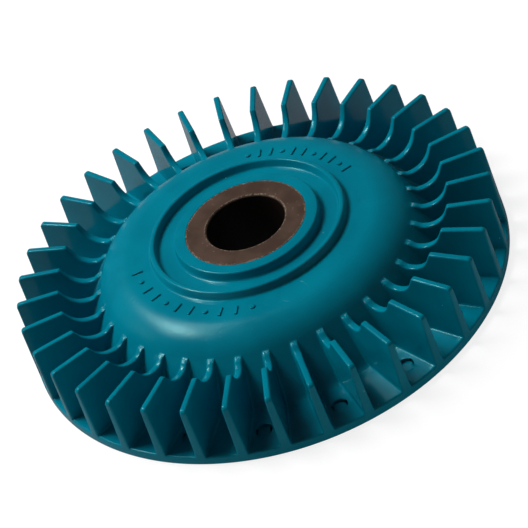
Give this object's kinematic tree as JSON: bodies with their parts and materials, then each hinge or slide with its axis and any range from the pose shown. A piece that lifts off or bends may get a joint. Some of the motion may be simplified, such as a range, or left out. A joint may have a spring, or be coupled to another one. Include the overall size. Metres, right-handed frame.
{
  "type": "sander cooling fan",
  "caption": "Round moulded fan wheel with a domed hub, straight radial blades on a flat disc and a plain bush pressed into its centre for the motor shaft.",
  "frame": {"origin": "centre of the wheel's flat underside, on the shaft axis", "axes": "+Z along the shaft axis, from the underside towards the blades; one blade lies on +X"},
  "size_m": [0.105, 0.105, 0.0176],
  "materials": {
    "wheel_plastic": "teal glass-filled moulding, satin gloss",
    "bush_moulding": "brown speckled moulding, matte"
  },
  "bodies": {
    "root": {"fan_wheel": "wheel_plastic", "centre_bush": "bush_moulding"}
  },
  "joints": []
}
